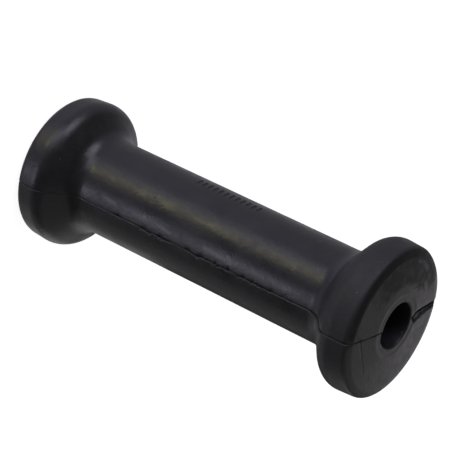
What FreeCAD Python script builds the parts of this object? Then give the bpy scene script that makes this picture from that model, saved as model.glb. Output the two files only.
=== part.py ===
import FreeCAD, Part
import math
import os

os.makedirs("parts", exist_ok=True)

# A keel roller of a boat trailer: one spool moulded in solid rubber, with a plain bore that turns on a steel spindle.
# It is sold as 200 by 75 mm for a 22 mm spindle, and its flanges measure a little less than 75 mm. It stands on one
# end, with +Z up its axis and the origin on the floor. The two halves of its mould meet in the XZ plane. All sizes are
# in millimetres.

# Whole roller
overall_length = 200.0
flange_diameter = 74.5
barrel_diameter = 47.0

# Bore, with a rounded mouth at each end
bore_diameter = 22.5
mouth_round = 0.7

# End face: a flat land round the bore, then a shallow cone that falls away to the rim
land_diameter = 32.0
face_fall = 2.1

# Flange rim, measured between its outer and its inner corner as if both were sharp. Its draft opens towards the inner one
rim_width = 14.6
rim_draft_angle = 4.0
outer_edge_round = 3.4
inner_edge_round = 8.9

# Sloping shoulder between the rim and the barrel, with its angle from the axis, and the fillet at its foot
shoulder_angle = 51.5
foot_round = 11.0

# Parting line of the mould, a fine groove along both sides and across both ends
parting_width = 0.6
parting_depth = 0.4

# Torn strip in the top face, where the trimmed flash took some rubber along, on the -X side of the bore
tear_inner_width = 2.6
tear_outer_width = 1.5
tear_depth = 0.9
tear_start_radius = 14.0
tear_reach_down_rim = 6.0

# Row of plain raised bars on the -Y side of the barrel, clear of the parting line
bar_count = 12
bar_pitch = 3.2
bar_width = 0.9
bar_height = 3.0
bar_proud = 0.35

flange_radius = flange_diameter / 2
barrel_radius = barrel_diameter / 2
bore_radius = bore_diameter / 2
land_radius = land_diameter / 2
middle = overall_length / 2


def point(radius, height):
    """A point of the half section, which lies in the XZ plane."""
    return FreeCAD.Vector(radius, 0, height)


def inset_line(start, end, inset):
    """The line from start to end, moved sideways into the rubber, which lies on its left."""
    along = (end - start).normalize()
    inward = FreeCAD.Vector(-along.z, 0, along.x)
    return start + inward * inset, end + inward * inset


def crossing(line_a, line_b):
    """The point where two lines of the half section cross."""
    start_a, end_a = line_a
    start_b, end_b = line_b
    along_a = end_a - start_a
    along_b = end_b - start_b
    between = start_b - start_a
    turn = along_a.x * along_b.z - along_a.z * along_b.x
    share = (between.x * along_b.z - between.z * along_b.x) / turn
    return start_a + along_a * share


def rounded_corner(before, corner, after, radius):
    """Start, middle and end of the arc that rounds one corner of the outline."""
    back = (before - corner).normalize()
    ahead = (after - corner).normalize()
    half_angle = back.getAngle(ahead) / 2
    setback = radius / math.tan(half_angle)
    to_arc = radius / math.sin(half_angle) - radius
    middle_of_arc = corner + (back + ahead).normalize() * to_arc
    return corner + back * setback, middle_of_arc, corner + ahead * setback


def sharp_corners():
    """Corners of the lower half of the outline before rounding, from the axis to the middle of the barrel.

    The inner edge of the rim is widest where its arc runs level with the axis, and that is the flange radius, so its
    sharp corner lies a little further out.
    """
    draft = math.radians(rim_draft_angle)
    slope = math.radians(shoulder_angle)
    spread = math.cos((slope - draft) / 2) / math.cos((slope + draft) / 2)
    inner_radius = flange_radius + inner_edge_round * (spread - 1)
    inner_height = face_fall + rim_width
    outer_radius = inner_radius - rim_width * math.tan(draft)
    foot_height = inner_height + (inner_radius - barrel_radius) / math.tan(slope)
    return [
        point(0, 0),
        point(land_radius, 0),
        point(outer_radius, face_fall),
        point(inner_radius, inner_height),
        point(barrel_radius, foot_height),
        point(barrel_radius, middle),
    ]


def end_corners(inset):
    """The same corners with every line moved into the rubber by the inset, and the radius that rounds each."""
    sharp = sharp_corners()
    lines = [inset_line(start, end, inset) for start, end in zip(sharp, sharp[1:])]
    corners = [crossing(first, second) for first, second in zip(lines, lines[1:])]
    corners = [lines[0][0]] + corners + [lines[-1][1]]
    radii = [0, outer_edge_round - inset, inner_edge_round - inset, foot_round + inset]
    return corners, radii


def half_outline(inset):
    """Edges of the lower half of the outline, with its corners rounded."""
    corners, radii = end_corners(inset)
    edges = []
    last = corners[0]
    for before, corner, after, radius in zip(corners, corners[1:], corners[2:], radii):
        if radius > 0:
            start, mid, end = rounded_corner(before, corner, after, radius)
        else:
            start, mid, end = corner, None, corner
        edges.append(Part.makeLine(last, start))
        if mid is not None:
            edges.append(Part.Arc(start, mid, end).toShape())
        last = end
    edges.append(Part.makeLine(last, corners[-1]))
    return edges


def spool(inset):
    """The spool without its bore, with its whole outline moved in by the inset."""
    lower = Part.Wire(half_outline(inset))
    upper = lower.mirror(point(0, middle), FreeCAD.Vector(0, 0, 1))
    axis_edge = Part.makeLine(point(0, inset), point(0, overall_length - inset))
    outline = Part.Wire(Part.sortEdges(lower.Edges + upper.Edges + [axis_edge])[0])
    return Part.Face(outline).revolve(point(0, 0), FreeCAD.Vector(0, 0, 1), 360)


def bore():
    """The bore with its two rounded mouths, as the solid that is taken out."""
    reach = mouth_round * (1 - math.sqrt(0.5))
    mouth_radius = bore_radius + mouth_round
    lower_arc = Part.Arc(
        point(mouth_radius, 0),
        point(bore_radius + reach, reach),
        point(bore_radius, mouth_round),
    ).toShape()
    upper_arc = lower_arc.mirror(point(0, middle), FreeCAD.Vector(0, 0, 1))
    edges = [
        Part.makeLine(point(0, 0), point(mouth_radius, 0)),
        lower_arc,
        Part.makeLine(point(bore_radius, mouth_round), point(bore_radius, overall_length - mouth_round)),
        upper_arc,
        Part.makeLine(point(mouth_radius, overall_length), point(0, overall_length)),
        Part.makeLine(point(0, overall_length), point(0, 0)),
    ]
    outline = Part.Wire(Part.sortEdges(edges)[0])
    return Part.Face(outline).revolve(point(0, 0), FreeCAD.Vector(0, 0, 1), 360)


def parting_groove():
    """The groove left where the mould halves met: a thin plate in the XZ plane, outside the inset spool."""
    plate = Part.makeBox(
        2 * flange_diameter,
        parting_width,
        overall_length,
        FreeCAD.Vector(-flange_diameter, -parting_width / 2, 0),
    )
    return plate.cut(spool(parting_depth))


def torn_strip():
    """The torn strip: a wedge-shaped slot that follows the top face, narrows to its edge and ends down the rim."""
    bottom = overall_length - face_fall - tear_reach_down_rim
    corners = [
        FreeCAD.Vector(-tear_start_radius, -tear_inner_width / 2, bottom),
        FreeCAD.Vector(-flange_radius, -tear_outer_width / 2, bottom),
        FreeCAD.Vector(-flange_radius, tear_outer_width / 2, bottom),
        FreeCAD.Vector(-tear_start_radius, tear_inner_width / 2, bottom),
    ]
    footprint = Part.Face(Part.makePolygon(corners + corners[:1]))
    column = footprint.extrude(FreeCAD.Vector(0, 0, overall_length - bottom))
    return column.cut(spool(tear_depth))


def raised_bars():
    """The row of plain bars on the -Y side, each sunk into the barrel by as much as it stands out."""
    outer = Part.makeCylinder(barrel_radius + bar_proud, overall_length)
    inner = Part.makeCylinder(barrel_radius - bar_proud, overall_length)
    skin = outer.cut(inner)
    first = middle - (bar_count - 1) * bar_pitch / 2
    blanks = []
    for number in range(bar_count):
        corner = FreeCAD.Vector(-bar_height / 2, -barrel_diameter, first + number * bar_pitch - bar_width / 2)
        blanks.append(Part.makeBox(bar_height, barrel_diameter, bar_width, corner))
    return skin.common(Part.makeCompound(blanks))


def roller():
    """The whole moulding."""
    body = spool(0).cut(parting_groove())
    body = body.cut(torn_strip())
    body = body.fuse(raised_bars())
    return body.cut(bore()).removeSplitter()


shape = roller()
shape.exportStep("parts/roller.step")
print("roller", len(shape.Solids), "solid, valid", shape.isValid(), "volume", round(shape.Volume / 1000, 1), "cm3")
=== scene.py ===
import math
import bpy
import numpy as np
from mathutils import Matrix, Vector


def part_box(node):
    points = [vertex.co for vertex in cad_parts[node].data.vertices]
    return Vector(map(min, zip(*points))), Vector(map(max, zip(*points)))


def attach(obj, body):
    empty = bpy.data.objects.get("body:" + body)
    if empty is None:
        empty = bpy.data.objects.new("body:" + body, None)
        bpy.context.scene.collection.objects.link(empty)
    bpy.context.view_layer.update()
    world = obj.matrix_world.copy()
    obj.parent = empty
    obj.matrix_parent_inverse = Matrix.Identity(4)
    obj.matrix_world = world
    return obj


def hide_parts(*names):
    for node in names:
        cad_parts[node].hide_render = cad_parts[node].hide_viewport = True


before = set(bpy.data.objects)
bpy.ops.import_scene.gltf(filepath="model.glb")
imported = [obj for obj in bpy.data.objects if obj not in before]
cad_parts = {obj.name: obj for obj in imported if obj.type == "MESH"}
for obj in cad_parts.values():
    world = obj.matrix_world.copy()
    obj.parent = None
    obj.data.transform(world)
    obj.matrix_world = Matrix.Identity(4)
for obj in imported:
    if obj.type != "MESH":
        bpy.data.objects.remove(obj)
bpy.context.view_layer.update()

# Roller
# One spool of solid black rubber, pressed in a mould of two halves round a steel core pin that leaves the
# bore. The halves meet at y = 0, and the flash trimmed off that line leaves a ragged groove, torn open
# beside the bore in the top face.
mm = 0.001
roller_low, roller_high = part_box("roller")
roller_length = roller_high.z - roller_low.z
inside_box = 0.02 * mm
flange_radius = (roller_high.y - roller_low.y) / 2 - inside_box
barrel_radius = 23.55 * mm
bore_radius = 11.25 * mm
mouth_round = 0.7 * mm
land_radius = 16 * mm
land_round = 3 * mm
face_fall = 1.75 * mm
crown_radius = 32.5 * mm
crown_slope = math.radians(25)
crown_round = 1.5 * mm
rim_width = 14.6 * mm
rim_draft = math.radians(4.0)
outer_edge_round = 2.6 * mm
inner_edge_round = 8.9 * mm
shoulder_slope = math.radians(51.5)
foot_round = 11 * mm


def section_corners(end_height):
    """Sharp corners of the lower half of the section, as radius and height, from mid bore to the barrel.

    The rim is widest where the arc of its inner edge runs level with the axis, so that edge's sharp corner
    lies further out than the flange radius, by the arc's radius times
    cos((slope - draft) / 2) / cos((slope + draft) / 2) - 1. The end face is a shallow cone that steepens at
    its crown, and its outer corner is where the crown's line meets the rim's.
    """
    spread = math.cos((shoulder_slope - rim_draft) / 2) / math.cos((shoulder_slope + rim_draft) / 2)
    inner = flange_radius + inner_edge_round * (spread - 1)
    inner_height = face_fall + rim_width
    outer = inner - rim_width * math.tan(rim_draft)
    foot_height = inner_height + (inner - barrel_radius) / math.tan(shoulder_slope)
    crown_fall = face_fall * (crown_radius - land_radius) / (outer - land_radius)
    draft = math.tan(rim_draft)
    slope = math.tan(crown_slope)
    outer = (outer + (crown_fall - crown_radius * slope - face_fall) * draft) / (1 - slope * draft)
    outer_fall = crown_fall + (outer - crown_radius) * slope
    return np.array([
        (bore_radius, roller_length / 2),
        (bore_radius, 0),
        (land_radius, 0),
        (crown_radius, crown_fall),
        (outer, outer_fall),
        (inner, inner_height),
        (barrel_radius, foot_height),
        (barrel_radius, end_height),
    ])


def rounded(corners, rounds, steps, arc_step):
    """Points along a line of corners: even steps on the straights, and a tangent arc at each corner.

    An arc that turns by the angle a with radius r starts r tan(a / 2) before its corner, and its centre is
    r / cos(a / 2) from the corner, on the line that halves the angle.
    """
    ahead = np.diff(corners, axis=0)
    ahead /= np.linalg.norm(ahead, axis=1)[:, None]
    points = []
    last = corners[0]
    for corner, before, after, radius, step in zip(corners[1:-1], ahead[:-1], ahead[1:], rounds, steps):
        half_turn = math.acos(float(np.clip(before @ after, -1, 1))) / 2
        setback = radius * math.tan(half_turn)
        start = corner - before * setback
        end = corner + after * setback
        count = max(1, math.ceil(np.linalg.norm(start - last) / step))
        points.append(last + (start - last) * (np.arange(count) / count)[:, None])
        inward = (after - before) / np.linalg.norm(after - before)
        centre = corner + inward * radius / math.cos(half_turn)
        from_angle = math.atan2(*(start - centre)[::-1])
        turn = math.atan2(*(end - centre)[::-1]) - from_angle
        turn = (turn + math.pi) % (2 * math.pi) - math.pi
        count = max(2, math.ceil(abs(turn) * radius / arc_step))
        angles = from_angle + turn * np.arange(count) / count
        points.append(centre + radius * np.stack([np.cos(angles), np.sin(angles)], 1))
        last = end
    count = math.ceil(np.linalg.norm(corners[-1] - last) / steps[-1])
    points.append(last + (corners[-1] - last) * (np.arange(count) / count)[:, None])
    return np.concatenate(points)


# Over the bars the rows of points are even, ten to a bar, so that all the bars come out alike. In this
# half they start 0.3 of a pitch before the first bar's share of the row and stop at mid barrel.
bar_count = 12
bar_pitch = 3.2 * mm
row_step = bar_pitch / 10
bar_rows_start = roller_length / 2 - (bar_count / 2 + 0.3) * bar_pitch
bar_rows = np.arange(bar_rows_start, roller_length / 2 - row_step / 2, row_step)
bar_rows = np.stack([np.full_like(bar_rows, barrel_radius), bar_rows], 1)


def half_section(end_step, barrel_step):
    """Half the section, up to mid barrel, with one spacing of points at the end and one on the barrel."""
    rounds = [mouth_round, land_round, crown_round, outer_edge_round, inner_edge_round, foot_round]
    bore_step = 10 * mm
    steps = [bore_step] + [end_step] * 5 + [barrel_step]
    arc_step = 0.9 * end_step
    corners = section_corners(bar_rows_start)
    return np.concatenate([rounded(corners, rounds, steps, arc_step), bar_rows])


far_half = half_section(end_step=1.1 * mm, barrel_step=0.45 * mm)
near_half = half_section(end_step=0.55 * mm, barrel_step=0.42 * mm)[1:] * (1, -1) + (0, roller_length)
section = np.concatenate([far_half, [(barrel_radius, roller_length / 2)], near_half[::-1]])

# At each point of the section: the distance walked along it so far, and the way out of the rubber
onward = np.roll(section, -1, axis=0) - section
walk = np.cumsum(np.linalg.norm(onward, axis=1))[:, None]
along = onward + np.roll(onward, 1, axis=0)
along /= np.linalg.norm(along, axis=1)[:, None]
outward = np.stack([along[:, 1], -along[:, 0]], 1)


def crowded_angles(count, crowding, crowds):
    """Angles once round the axis that crowd together near some of them.

    Each angle t gets the weight 1 + crowding * sum exp(-((t - centre) / half_width)^6), and the angles lie
    at equal steps of the weight added up.
    """
    fine = np.linspace(-math.pi / 4, 7 * math.pi / 4, 7201)
    weight = np.ones_like(fine)
    for centre, half_width in crowds:
        away = (fine - centre + math.pi) % (2 * math.pi) - math.pi
        weight += crowding * np.exp(-((away / half_width) ** 6))
    added = np.concatenate([[0], np.cumsum((weight[1:] + weight[:-1]) / 2)])
    return np.interp(np.arange(count) / count * added[-1], added, fine)


def step_up(value, start, end):
    """0 up to start, 1 from end on, and 3f^2 - 2f^3 between them."""
    f = np.clip((value - start) / (end - start), 0, 1)
    return f * f * (3 - 2 * f)


def along_the_halves(angles, radius):
    """Angles that keep their distance from the plane where the mould halves meet, and don't fan out.

    Up to 5 degrees from 0 and from 180, an angle t becomes arcsin(barrel radius * sin t / radius). The
    shift that this makes fades out from there to 60 degrees.
    """
    held = math.radians(5)
    free = math.radians(60)
    away = angles - np.round(angles / math.pi) * math.pi
    near = np.clip(away, -held, held)
    shift = np.arcsin(barrel_radius * np.sin(near) / radius) - near
    return angles + shift * (1 - step_up(np.abs(away), held, free))


# The grid is finest along both sides of the parting line and over the bars
angles = crowded_angles(
    count=180,
    crowding=9,
    crowds=[(0, math.radians(2.5)), (math.pi, math.radians(4.9)), (-math.pi / 2, math.radians(4.4))],
)
radius = np.broadcast_to(section[:, :1], (len(section), len(angles)))
height = np.broadcast_to(section[:, 1:], radius.shape)
turn = along_the_halves(angles[None, :], radius)


def smooth_noise(u, v, seed):
    """Noise from -1 to 1 that blends random values at whole numbers of u and v, by 3f^2 - 2f^3 each way."""
    size = 256
    table = np.random.default_rng(seed).uniform(-1, 1, (size, size))
    row = np.floor(u).astype(int)
    column = np.floor(v).astype(int)
    down = step_up(u - row, 0, 1)
    right = step_up(v - column, 0, 1)
    next_row = (row + 1) % size
    next_column = (column + 1) % size
    row = row % size
    column = column % size
    low = table[row, column] * (1 - down) + table[next_row, column] * down
    high = table[row, next_column] * (1 - down) + table[next_row, next_column] * down
    return low * (1 - right) + high * right


def in_spans(value, spans, edge):
    """1 inside any of the spans and 0 outside, with a soft edge of that width on both sides of each end."""
    inside = [
        step_up(value, start - edge, start + edge) - step_up(value, end - edge, end + edge)
        for start, end in spans
    ]
    return np.max(inside, axis=0)


def bell(value, half_width):
    """exp(-(value / half_width)^2)."""
    return np.exp(-((value / half_width) ** 2))


# Where each point lies: how far from the plane of the parting line, on which side of the roller, out of the
# bore or in it, and on an end face or not.
across = radius * np.sin(turn)
right_side = np.cos(turn) > 0
outside = step_up(radius, bore_radius + 0.1 * mm, bore_radius + 0.5 * mm)
on_end = np.abs(outward[:, 1:]) > 0.9

# The parting line. Between these heights, in mm, it is ragged, pinched shut or torn wide on the right
# side, and has a bead of flash on both. The right side reads its noise 9 cells further on, so they differ.
line_width = 0.25 * mm
line_depth = 0.75 * mm
half_step = 0.06 * mm
bead_height = 0.1 * mm
bead_half_width = 0.2 * mm
bead_offset = 0.55 * mm
ragged_spans = [(53, 58), (69, 76), (79, 88), (97, 117), (119, 123), (127, 148)]
closed_spans = [(22, 51)]
torn_wide_spans = [(169, 184)]
bead_spans = [(21, 51), (60, 68), (88, 97), (148, 196)]
ragged = in_spans(height / mm, ragged_spans, 1) * right_side
side = 9.0 * right_side


def line_wander():
    """How far the parting line strays: a slow wave and two quick ones, strong where it is ragged."""
    quick = 0.4 * smooth_noise(walk / mm / 2.2, side, 5) + 0.3 * smooth_noise(walk / mm / 1.0, side, 6)
    return (0.14 * smooth_noise(walk / mm / 8, side, 2) + (0.12 + 0.88 * ragged) * quick) * mm


def parting_line():
    """How open the parting line is, 0 to 1: a bell across it, wider where it is ragged or torn wide.

    It is pinched shut for a length beside the far flange, where the flash was left on, and bolder round the
    top flange. On the left the torn strip takes its place at the top.
    """
    wide = in_spans(height / mm, torn_wide_spans, 1.5) * right_side * (radius > barrel_radius)
    bold = 0.45 * step_up(height, roller_length - 18 * mm, roller_length - 14 * mm)
    uneven = ragged * (0.55 + 0.7 * smooth_noise(walk / mm / 1.3, side, 4))
    width = line_width * (1 + uneven + 1.5 * wide + bold)
    shut = in_spans(height / mm, closed_spans, 2) * right_side
    depth = 0.55 + 0.2 * smooth_noise(walk / mm / 3, side, 3) + 0.5 * np.maximum(ragged, wide)
    torn_away = (height > roller_length - 8 * mm) & ~right_side
    return np.clip(depth * (1 - 0.9 * shut) * bell(across - wander, width), 0, 1) * ~torn_away


def flash_bead():
    """Height of the thin bead of flash beside the parting line, a bell whose height strays a little."""
    bead = in_spans(height / mm, bead_spans, 2) * bell(across - wander - bead_offset, bead_half_width)
    return bead_height * bead * (0.8 + 0.4 * smooth_noise(walk / mm / 4, side, 7))


# The torn strip. Its two cracks are given by distance from the axis and distance across, and its start by
# distance across and distance from the axis, all in mm.
tear_depth = 1.3 * mm
near_crack = [(13, -0.6), (14.5, -1.05), (16, -1.9), (17.5, -2.25), (38, -1.75)]
far_crack = [(13, 2.4), (15, 2.1), (17.4, 1.75), (22, 0.9), (27, 0.2), (38, -0.1)]
tear_start = [(-1.4, 13.9), (-0.7, 12.0), (2.1, 15)]


def through(value, points):
    """Straight lines from point to point, which are given in mm."""
    first, second = np.array(points).T * mm
    return np.interp(value, first, second)


def torn_strip():
    """How deep the strip beside the bore is torn, 0 to 1: a rough floor between two deep cracks.

    Each crack is a bell across it, and strays by a noise along the radius. The strip starts in a wedge that
    all but reaches the bore, and ends down the rim.
    """
    near = across - through(radius, near_crack) - 0.16 * mm * smooth_noise(radius / mm / 2.2, 0 * turn, 8)
    far = across - through(radius, far_crack) - 0.14 * mm * smooth_noise(radius / mm / 1.7, 0 * turn, 9)
    slant = radius - through(across, tear_start)
    between = step_up(near, -0.12 * mm, 0.12 * mm) * (1 - step_up(far, -0.12 * mm, 0.12 * mm))
    started = step_up(slant, -0.3 * mm, 0.2 * mm)
    in_reach = step_up(height, roller_length - 8.4 * mm, roller_length - 6.8 * mm) * ~right_side * started
    cracks = np.maximum(bell(near - 0.1 * mm, 0.75 * mm), 0.9 * bell(far, 0.38 * mm))
    slanted = 0.85 * bell(slant, 0.6 * mm) * between
    floor = 0.4 + 0.1 * smooth_noise(radius / mm / 1.2, across / mm / 0.8, 10)
    floor = floor + 0.1 * step_up(radius, 18 * mm, 22 * mm)
    floor = floor + 0.15 * (1 - step_up(radius, 14.5 * mm, 16.5 * mm))
    return np.maximum(np.maximum(cracks, slanted), between * floor) * in_reach


bar_width = 1.05 * mm
bar_height = 4.2 * mm
bar_shift = 0.5 * mm
bar_proud = 0.33 * mm


def raised_bars():
    """The row of bars on the -Y side, 0 to 1, which are rounded boxes: one step up and down each way."""
    place = (height - roller_length / 2) / bar_pitch + bar_count / 2
    in_row = (place > 0) & (place < bar_count) & (radius > barrel_radius - 1 * mm)
    from_bar = np.abs(place - np.floor(place) - 0.5) * bar_pitch
    from_front = (turn + math.pi / 2 + math.pi) % (2 * math.pi) - math.pi
    sideways = np.abs(barrel_radius * from_front - bar_shift)
    up = 1 - step_up(from_bar, bar_width / 2 - 0.16 * mm, bar_width / 2 + 0.16 * mm)
    wide = 1 - step_up(sideways, bar_height / 2 - 0.2 * mm, bar_height / 2 + 0.2 * mm)
    return up * wide * in_row


chip_depth = 0.7 * mm


def chipped_mouth():
    """Depth of the chip out of the bore's top mouth, which starts at the parting line and thins out."""
    round_it = step_up(turn, 0, math.radians(4)) * (1 - step_up(turn, math.radians(15), math.radians(60)))
    near_mouth = 1 - step_up(radius, bore_radius + 0.7 * mm, bore_radius + 1.2 * mm)
    return chip_depth * round_it * near_mouth * (height > roller_length - 2 * mm)


def crown_lift():
    """How far the crown of the top face is filled up: it shows in full from -130 degrees to 0 only.

    Elsewhere it keeps 40 % of its fall, which is
    (radius - crown radius) * (tan(crown slope) - slope of the cone).
    """
    degrees = (np.degrees(turn) + 180) % 360 - 180
    crowned = step_up(degrees, -168, -130) * (1 - step_up(degrees, -0.5, 3))
    cone = face_fall / (flange_radius - land_radius)
    fall = np.clip(radius - crown_radius, 0, None) * (math.tan(crown_slope) - cone)
    at_top = step_up(height, roller_length - 12 * mm, roller_length - 5 * mm)
    return 0.6 * (1 - crowned) * fall * at_top


ring_radius = 13.9 * mm
ring_half_width = 0.8 * mm
ring_depth = 0.09 * mm


def bore_ring():
    """Depth of the shallow ring sunk round the top mouth of the bore by the shoulder of the core pin."""
    at_top = height > roller_length - 1 * mm
    return ring_depth * bell(radius - ring_radius, ring_half_width) * at_top * on_end


uneven_depth = 0.12 * mm


def unevenness():
    """Slow waves of the cooled rubber, always inwards so that the roller stays within its size.

    They are two noises, one with cells of 21 mm by 36 degrees and one, half as strong, of 8 mm by 18.
    """
    lobes = turn * 5 / math.pi + 20
    long_waves = smooth_noise(height / (21 * mm), lobes, 11)
    short_waves = smooth_noise(height / (8 * mm), 2 * lobes, 12)
    return uneven_depth * (1.5 + (long_waves + 0.5 * short_waves)) / 3


# The relief moves each point out of the rubber or into it. The tear is shallower near the edge of the face.
wander = line_wander()
open_line = parting_line()
torn = torn_strip()
bars = raised_bars()
tear = tear_depth * torn * (1 - 0.75 * step_up(radius, 31 * mm, 36 * mm))
relief = bar_proud * bars + (flash_bead() - line_depth * (1 - 0.3 * on_end) * open_line) * outside
relief -= half_step * outside * step_up(across - wander, 0, 0.2 * mm)
relief -= np.maximum(tear, chipped_mouth()) + unevenness() * outside + bore_ring()
lift = crown_lift()
radius = np.minimum(radius + relief * outward[:, :1], flange_radius)
height = np.clip(height + relief * outward[:, 1:] + lift, 0, roller_length)
places = np.stack([radius * np.cos(turn), radius * np.sin(turn), height], axis=2)


def closed_grid(name, places):
    """A mesh on a grid of points that closes on itself both ways, one face between each four neighbours."""
    rows, columns = places.shape[:2]
    number = np.arange(rows * columns).reshape(rows, columns)
    beside = np.roll(number, -1, axis=1)
    above = np.roll(number, -1, axis=0)
    corner = np.roll(above, -1, axis=1)
    faces = np.stack([number, beside, corner, above], axis=2).reshape(-1, 4)
    mesh = bpy.data.meshes.new(name)
    mesh.from_pydata(places.reshape(-1, 3), [], faces)
    mesh.shade_smooth()
    piece = bpy.data.objects.new(name, mesh)
    bpy.context.collection.objects.link(piece)
    return piece


def point_attribute(piece, name, values):
    """A number at every point of the grid, which the material reads by its name."""
    piece.data.attributes.new(name, "FLOAT", "POINT").data.foreach_set("value", values.ravel())


def any_of(*amounts):
    """The largest of some amounts, at each point."""
    return np.maximum.reduce(np.broadcast_arrays(*amounts))


roller = closed_grid("moulded_roller", places)

# Duller skin on the end faces, on the top flange's rim, in a bloom beside the far flange and in the bore
end_dull = step_up(np.abs(outward[:, 1:]), 0.75, 0.9) * outside
rim_dull = step_up(height, roller_length - 28 * mm, roller_length - 21 * mm) * outside
bloom = 0.35 * in_spans(height / mm, [(36, 60)], 9) * outside
point_attribute(roller, "end_face", end_dull)
point_attribute(roller, "dull", any_of(end_dull, 0.9 * rim_dull, bloom, 0.7 * (1 - outside)))

# A dark stain in the middle of the top face, and painted shade by the edge and along the crown
degrees_round = np.degrees(turn) % 360
stain_middle = in_spans(radius / mm, [(19.5, 38)], 3) * in_spans(degrees_round, [(220, 318)], 22)
painted_shade_by_edge = in_spans(radius / mm, [(25.5, 38)], 2.5) * in_spans(degrees_round, [(207, 245)], 7)
painted_shade_on_crown = in_spans(radius / mm, [(32.9, 38)], 0.7) * in_spans(degrees_round, [(245, 358)], 4)
stain_and_painted_shade = any_of(stain_middle, painted_shade_by_edge, painted_shade_on_crown) * (height > roller_length / 2)
point_attribute(roller, "stain_and_painted_shade", stain_and_painted_shade)

# Painted shade in the parting line's groove, in the torn strip's cracks and on the bars
point_attribute(roller, "painted_shade_in_cuts", any_of(open_line ** 0.8 * outside, step_up(torn, 0.25, 0.7), 0.7 * bars))

cone_width = 20.1 * mm


def on_end_face(distance, degrees):
    """The place on the top end face at that distance from the axis, in mm, and angle."""
    fall = face_fall * max(0, distance * mm - land_radius) / cone_width
    angle = math.radians(degrees)
    return distance * mm * math.cos(angle), distance * mm * math.sin(angle), roller_length - fall


def on_barrel(place, degrees):
    """The place on the barrel at that height, in mm, and angle."""
    angle = math.radians(degrees)
    return barrel_radius * math.cos(angle), barrel_radius * math.sin(angle), place * mm


skin_dark = (0.013, 0.013, 0.015, 1)
skin_pale = (0.02, 0.019, 0.022, 1)
face_dark = (0.012, 0.011, 0.012, 1)
face_pale = (0.036, 0.035, 0.036, 1)
# Near-black for the stain, and for the painted shade by the top face's edge and on its crown
stain_and_shade_black = (0.005, 0.004, 0.005, 1)
# Near-black for the painted shade in the cuts, and for the dark scratches
shade_and_scratch_black = (0.003, 0.003, 0.004, 1)
# Pale grey for a painted highlight on the edge of the top face, and for a pale line by a scratch
highlight_and_line_grey = (0.11, 0.11, 0.115, 1)
dust_grey = (0.16, 0.16, 0.165, 1)


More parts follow.
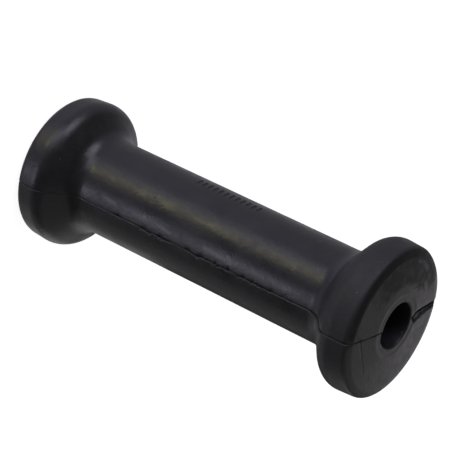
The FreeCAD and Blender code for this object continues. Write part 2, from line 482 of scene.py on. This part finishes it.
def black_rubber():
    """Near-black rubber: satin skin, patchy bloom, greyer duller end faces, matt cuts with painted shade.
    """
    material = bpy.data.materials.new("black_rubber")
    material.use_nodes = True
    nodes, links = material.node_tree.nodes, material.node_tree.links
    shader = nodes["Principled BSDF"]
    where = nodes.new("ShaderNodeTexCoord").outputs["Object"]

    def give(socket, value):
        """A link where the value comes from another node, and otherwise a fixed value."""
        if isinstance(value, bpy.types.NodeSocket):
            links.new(value, socket)
        else:
            socket.default_value = value

    def noise(scale, detail, roughness=0.5):
        """Cloudy noise, 0 to 1, with that many cells to the metre."""
        node = nodes.new("ShaderNodeTexNoise")
        node.inputs["Scale"].default_value = scale
        node.inputs["Detail"].default_value = detail
        node.inputs["Roughness"].default_value = roughness
        links.new(where, node.inputs["Vector"])
        return node.outputs["Fac"]

    def attribute(name):
        """One of the numbers that the grid's points carry."""
        node = nodes.new("ShaderNodeAttribute")
        node.attribute_name = name
        return node.outputs["Fac"]

    def spread(value, low, high, to_low, to_high):
        """The range from low to high stretched to that from to_low to to_high, and held at its ends."""
        node = nodes.new("ShaderNodeMapRange")
        node.inputs["From Min"].default_value = low
        node.inputs["From Max"].default_value = high
        node.inputs["To Min"].default_value = to_low
        node.inputs["To Max"].default_value = to_high
        links.new(value, node.inputs["Value"])
        return node.outputs["Result"]

    def sums(operation, first, second):
        """One step of arithmetic on two plain numbers."""
        node = nodes.new("ShaderNodeMath")
        node.operation = operation
        give(node.inputs[0], first)
        give(node.inputs[1], second)
        return node.outputs[0]

    def blend(share, first, second):
        """Colours mixed by the share of the second one."""
        node = nodes.new("ShaderNodeMix")
        node.data_type = "RGBA"
        give(node.inputs["Factor"], share)
        give(node.inputs[6], first)
        give(node.inputs[7], second)
        return node.outputs[2]

    def between(share, first, second):
        """first + share * (second - first), for plain numbers."""
        return sums("ADD", first, sums("MULTIPLY", share, sums("SUBTRACT", second, first)))

    def scratch(start, end, half_width):
        """1 on the line from start to end, and 0 from half_width mm away, by the distance to the line."""
        line = Vector(end) - Vector(start)
        from_start = nodes.new("ShaderNodeVectorMath")
        from_start.operation = "SUBTRACT"
        links.new(where, from_start.inputs[0])
        from_start.inputs[1].default_value = start
        share = nodes.new("ShaderNodeVectorMath")
        share.operation = "DOT_PRODUCT"
        links.new(from_start.outputs["Vector"], share.inputs[0])
        share.inputs[1].default_value = line / line.length_squared
        nearest = nodes.new("ShaderNodeVectorMath")
        nearest.operation = "SCALE"
        nearest.inputs[0].default_value = line
        links.new(spread(share.outputs["Value"], 0, 1, 0, 1), nearest.inputs["Scale"])
        away = nodes.new("ShaderNodeVectorMath")
        away.operation = "DISTANCE"
        links.new(from_start.outputs["Vector"], away.inputs[0])
        links.new(nearest.outputs["Vector"], away.inputs[1])
        return spread(away.outputs["Value"], 0, half_width * mm, 1, 0)

    def all_marks(marks):
        """Several scratches as one, by the largest."""
        total = marks[0]
        for mark in marks[1:]:
            total = sums("MAXIMUM", total, mark)
        return total

    patches = noise(60, 4)
    mottle = noise(260, 8, 0.65)
    flecks = noise(520, 4, 0.6)
    # The stain and the painted shade on the top face, broken up by the mottle
    stain_and_painted_shade = sums("ADD", attribute("stain_and_painted_shade"), sums("MULTIPLY", sums("SUBTRACT", mottle, 0.5), 1.6))
    stain_and_painted_shade = spread(stain_and_painted_shade, 0.25, 0.95, 0, 1)

    dark_scratches = all_marks([
        scratch(on_end_face(18.2, -114.7), on_end_face(23.1, -135.5), 0.35),
        scratch(on_end_face(23.1, -135.5), on_end_face(23.2, -149.5), 0.3),
        scratch(on_end_face(28.3, -3), on_end_face(24.9, 24), 0.42),
        scratch(on_end_face(24.9, 24), on_end_face(24.9, 36), 0.34),
        scratch(on_end_face(24.9, 36), on_end_face(26.5, 47), 0.28),
        scratch(on_end_face(25.1, 58.5), on_end_face(27.7, 63.4), 0.34),
        scratch(on_end_face(31.5, -8), on_end_face(29.2, -1), 0.28),
        scratch(on_barrel(70.6, -40), on_barrel(71.6, -37.5), 0.35),
    ])
    # A painted highlight where the face rounds over at its edge, then a pale line beside a scratch
    painted_highlight_and_pale_line = all_marks([
        scratch(on_end_face(30.6, -107), on_end_face(31, -118), 1.2),
        scratch(on_end_face(30.6, -118), on_end_face(29.8, -129), 1.9),
        scratch(on_end_face(29.2, 0), on_end_face(25.6, 22), 0.3),
    ])
    shiny_rubs = all_marks([
        scratch(on_barrel(79, -12), on_barrel(87, -9), 1.3),
        scratch(on_barrel(107, -12.5), on_barrel(118, -10), 1.8),
        scratch(on_barrel(45, -15), on_barrel(52, -12.5), 1.8),
        scratch(on_barrel(96, -36), on_barrel(106, -37.5), 1.6),
    ])

    dust = nodes.new("ShaderNodeTexVoronoi")
    dust.inputs["Scale"].default_value = 130
    links.new(where, dust.inputs["Vector"])
    dust_specks = spread(dust.outputs["Distance"], 0.03, 0.065, 0.42, 0)

    skin = blend(spread(patches, 0.35, 0.7, 0, 1), skin_dark, skin_pale)
    face = blend(spread(mottle, 0.3, 0.7, 0, 1), face_dark, face_pale)
    # The stain and the painted shade darken the top face
    face = blend(sums("MULTIPLY", stain_and_painted_shade, 0.95), face, stain_and_shade_black)
    colour = blend(attribute("end_face"), skin, face)
    # The painted highlight and the pale line, broken up by the mottle
    highlight_and_line_share = sums("MULTIPLY", painted_highlight_and_pale_line, spread(mottle, 0.35, 0.58, 0.15, 1))
    colour = blend(highlight_and_line_share, colour, highlight_and_line_grey)
    colour = blend(sums("MULTIPLY", dark_scratches, 0.85), colour, shade_and_scratch_black)
    colour = blend(dust_specks, colour, dust_grey)
    # Painted shade in the parting groove, the torn strip's cracks and on the bars
    painted_shade_in_cuts = attribute("painted_shade_in_cuts")
    links.new(blend(painted_shade_in_cuts, colour, shade_and_scratch_black), shader.inputs["Base Color"])

    satin = sums("ADD", spread(patches, 0.3, 0.7, 0.27, 0.41), spread(mottle, 0.3, 0.7, -0.05, 0.06))
    matt = sums("ADD", spread(mottle, 0.3, 0.7, 0.4, 0.52), sums("MULTIPLY", stain_and_painted_shade, 0.16))
    roughness = between(attribute("dull"), satin, matt)
    roughness = between(sums("MAXIMUM", painted_shade_in_cuts, sums("MULTIPLY", dark_scratches, 0.7)), roughness, 0.9)
    rubbed = sums("MULTIPLY", sums("MULTIPLY", shiny_rubs, mottle), 0.9)
    links.new(between(rubbed, roughness, 0.2), shader.inputs["Roughness"])

    ripple = nodes.new("ShaderNodeBump")
    ripple.inputs["Strength"].default_value = 0.9
    ripple.inputs["Distance"].default_value = 0.1 * mm
    links.new(flecks, ripple.inputs["Height"])
    grain = nodes.new("ShaderNodeBump")
    grain.inputs["Strength"].default_value = 0.12
    grain.inputs["Distance"].default_value = 0.1 * mm
    links.new(noise(900, 3), grain.inputs["Height"])
    links.new(ripple.outputs["Normal"], grain.inputs["Normal"])
    links.new(grain.outputs["Normal"], shader.inputs["Normal"])
    return material


roller.data.materials.append(black_rubber())
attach(roller, "root")
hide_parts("roller")

# Floor
# A plain white studio floor, level with the end that the roller stands on. It glows a little, so that it
# stays white round the dark rubber, and it lets the lamps that stand lower than the table reach the roller.
floor_reach = 6.0
floor_colour = (0.8, 0.8, 0.8, 1)
floor_glow = 0.9


def white_floor():
    """A square of one face in the plane z = 0."""
    mesh = bpy.data.meshes.new("floor")
    corners = [(x * floor_reach, y * floor_reach, 0) for x, y in ((-1, -1), (1, -1), (1, 1), (-1, 1))]
    mesh.from_pydata(corners, [], [(0, 1, 2, 3)])
    floor = bpy.data.objects.new("floor", mesh)
    bpy.context.collection.objects.link(floor)
    material = bpy.data.materials.new("white_floor")
    material.use_nodes = True
    shader = material.node_tree.nodes["Principled BSDF"]
    shader.inputs["Base Color"].default_value = floor_colour
    shader.inputs["Roughness"].default_value = 0.9
    shader.inputs["Specular IOR Level"].default_value = 0
    shader.inputs["Emission Color"].default_value = (1, 1, 1, 1)
    shader.inputs["Emission Strength"].default_value = floor_glow
    mesh.materials.append(material)
    floor.visible_diffuse = False
    floor.visible_glossy = False
    floor.visible_shadow = False


white_floor()

# Light
# Large soft lamps far away, all round the roller, a dim room between them, and one small lamp close to the
# far end. Each large one is a disc of the given width in degrees, as it is seen from the roller, and shines
# from its azimuth and elevation.
cool = (1.0, 0.98, 1.16)
neutral = (1.03, 0.99, 1.05)
warm = (1.1, 1.03, 0.36)
violet = (0.97, 0.93, 1.5)


def soft_lamp(name, azimuth, elevation, width, strength, colour):
    """A lamp so far away that it lights the whole roller evenly."""
    lamp = bpy.data.objects.new(name, bpy.data.lights.new(name, "SUN"))
    lamp.data.angle = math.radians(width)
    lamp.data.energy = strength
    lamp.data.color = colour
    flat = math.cos(math.radians(elevation))
    back = Vector((
        flat * math.cos(math.radians(azimuth)),
        flat * math.sin(math.radians(azimuth)),
        math.sin(math.radians(elevation)),
    ))
    lamp.rotation_mode = "QUATERNION"
    lamp.rotation_quaternion = back.to_track_quat("Z", "Y")
    bpy.context.collection.objects.link(lamp)


soft_lamp("front_low", azimuth=-51, elevation=-50, width=100, strength=0.24, colour=violet)
soft_lamp("front", azimuth=-60, elevation=-30, width=30, strength=0.185, colour=cool)
soft_lamp("left", azimuth=-84, elevation=19, width=36, strength=0.8, colour=cool)
soft_lamp("front_left", azimuth=-58, elevation=-4, width=30, strength=0.4, colour=cool)
soft_lamp("right_high", azimuth=78, elevation=42, width=66, strength=0.19, colour=neutral)
soft_lamp("cool_strip", azimuth=6, elevation=-34, width=18, strength=0.24, colour=cool)
soft_lamp("warm_strip", azimuth=-49, elevation=-34, width=14, strength=0.15, colour=warm)
soft_lamp("back_left", azimuth=-144, elevation=-30, width=100, strength=0.45, colour=cool)
soft_lamp("back_low", azimuth=157, elevation=8, width=30, strength=0.165, colour=neutral)
soft_lamp("back", azimuth=152, elevation=38, width=40, strength=0.085, colour=neutral)
soft_lamp("behind", azimuth=172, elevation=-18, width=36, strength=0.048, colour=neutral)
soft_lamp("right", azimuth=85, elevation=-25, width=46, strength=0.09, colour=neutral)
soft_lamp("far_right", azimuth=108, elevation=-2, width=36, strength=0.17, colour=neutral)
soft_lamp("right_low", azimuth=60, elevation=-70, width=70, strength=0.2, colour=neutral)


def low_lamp():
    """A small square lamp beside the far end, to its right, so near that it lights that end only."""
    size = 90 * mm
    azimuth = math.radians(112)
    out = 110
    down = 38
    aim = Vector((0, 0, 20 * mm))
    lamp = bpy.data.objects.new("low_lamp", bpy.data.lights.new("low_lamp", "AREA"))
    lamp.data.shape = "RECTANGLE"
    lamp.data.size = size
    lamp.data.size_y = size
    lamp.data.energy = 0.0105
    lamp.visible_camera = False
    lamp.location = Vector((out * math.cos(azimuth), out * math.sin(azimuth), -down)) * mm
    lamp.rotation_mode = "QUATERNION"
    lamp.rotation_quaternion = (lamp.location - aim).to_track_quat("Z", "Y")
    bpy.context.collection.objects.link(lamp)


low_lamp()

room_light = 0.076
room_colour = (1, 0.97, 0.88, 1)


def room():
    """A dim even room that the camera sees as white, like the floor."""
    world = bpy.data.worlds.new("studio")
    world.use_nodes = True
    nodes, links = world.node_tree.nodes, world.node_tree.links
    dim = nodes["Background"]
    dim.inputs["Color"].default_value = room_colour
    dim.inputs["Strength"].default_value = room_light
    white = nodes.new("ShaderNodeBackground")
    white.inputs["Color"].default_value = (1, 1, 1, 1)
    path = nodes.new("ShaderNodeLightPath")
    seen = nodes.new("ShaderNodeMixShader")
    links.new(path.outputs["Is Camera Ray"], seen.inputs["Fac"])
    links.new(dim.outputs["Background"], seen.inputs[1])
    links.new(white.outputs["Background"], seen.inputs[2])
    links.new(seen.outputs["Shader"], nodes["World Output"].inputs["Surface"])
    return world


scene = bpy.context.scene
scene.world = room()
scene.view_settings.view_transform = "Standard"

# Camera
# It looks down on the standing roller from the side of its parting line, and is rolled so that the roller
# lies across the picture as it does in the photograph.
camera_aim = Vector((-3.45, -5.66, 100.88)) * mm
camera_distance = 900.7 * mm
camera_azimuth = math.radians(-26.983)
camera_elevation = math.radians(30.099)
camera_roll = math.radians(115.663)
camera_lens = 151.07


def camera():
    """A camera on the sphere round its aim, with its right turned from the level by the roll."""
    back = Vector((
        math.cos(camera_elevation) * math.cos(camera_azimuth),
        math.cos(camera_elevation) * math.sin(camera_azimuth),
        math.sin(camera_elevation),
    ))
    data = bpy.data.cameras.new("camera")
    data.lens = camera_lens
    data.sensor_width = 36
    data.clip_start = 0.01
    data.clip_end = 30
    camera = bpy.data.objects.new("camera", data)
    camera.location = camera_aim + back * camera_distance
    level = back.to_track_quat("Z", "Y").to_matrix()
    camera.rotation_mode = "QUATERNION"
    camera.rotation_quaternion = (level @ Matrix.Rotation(camera_roll, 3, "Z")).to_quaternion()
    bpy.context.collection.objects.link(camera)
    return camera


scene.camera = camera()
